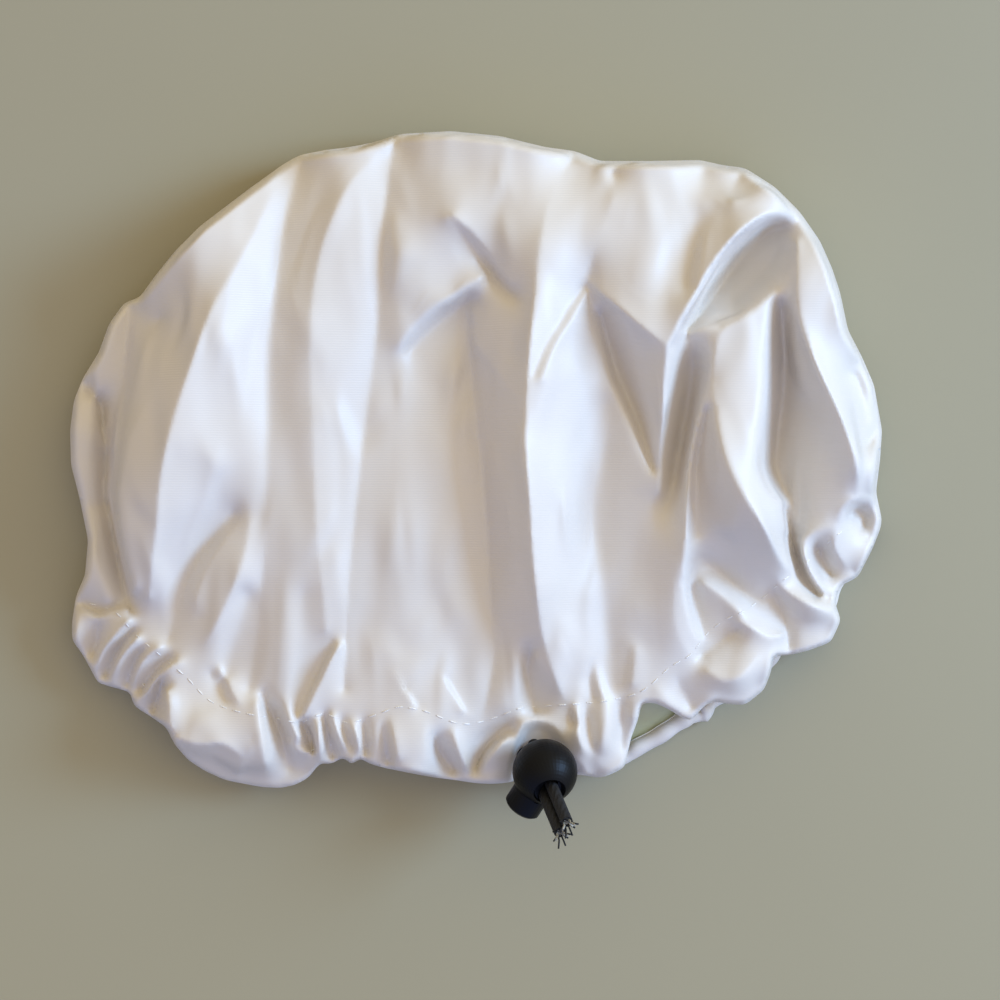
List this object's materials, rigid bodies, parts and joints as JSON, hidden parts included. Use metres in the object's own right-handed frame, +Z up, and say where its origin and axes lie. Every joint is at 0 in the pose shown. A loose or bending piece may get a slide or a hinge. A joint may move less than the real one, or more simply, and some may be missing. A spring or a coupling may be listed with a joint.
{
  "type": "satin hair bonnet",
  "caption": "Gathered satin hair bonnet with a contrasting satin lining, lying on its back, with an elastic drawcord in the hem casing and a spring ball cord lock.",
  "frame": {"origin": "On the table, under the middle of the crown's back, which lies flat on it.", "axes": "+X runs across the crown, +Y from the hem towards the top of the crown, +Z up from the table."},
  "size_m": [0.2494, 0.2047, 0.0472],
  "materials": {
    "satin_white": "satin",
    "satin_sage": "satin",
    "thread_white": "matte",
    "braid_black": "matte",
    "rubber_pale": "matte",
    "plastic_black": "satin",
    "spring_steel": "satin"
  },
  "bodies": {
    "bonnet": {"outer_crown": "satin_white", "crown_lining": "satin_sage", "casing_topstitch": "thread_white", "edge_seam_thread": "thread_white", "drawcord_braid": "braid_black", "drawcord_core": "rubber_pale", "tail_braid_left": "braid_black", "tail_core_left": "rubber_pale", "tail_braid_right": "braid_black", "tail_core_right": "rubber_pale"},
    "cord_lock": {"lock_barrel": "plastic_black", "lock_spring": "spring_steel"},
    "plunger": {"lock_plunger": "plastic_black"}
  },
  "joints": [
    {"name": "lock_slide", "type": "slide", "parent": "bonnet", "child": "cord_lock", "axis": [0.24, -0.5199, 0.8198], "range_m": [0, 0.012]},
    {"name": "plunger_press", "type": "slide", "parent": "cord_lock", "child": "plunger", "axis": [0.491, 0.7935, 0.3595], "range_m": [0, 0.0022], "stiffness_N_per_m": 900, "springref_m": -0.0015, "deforming": ["lock_spring"]}
  ]
}
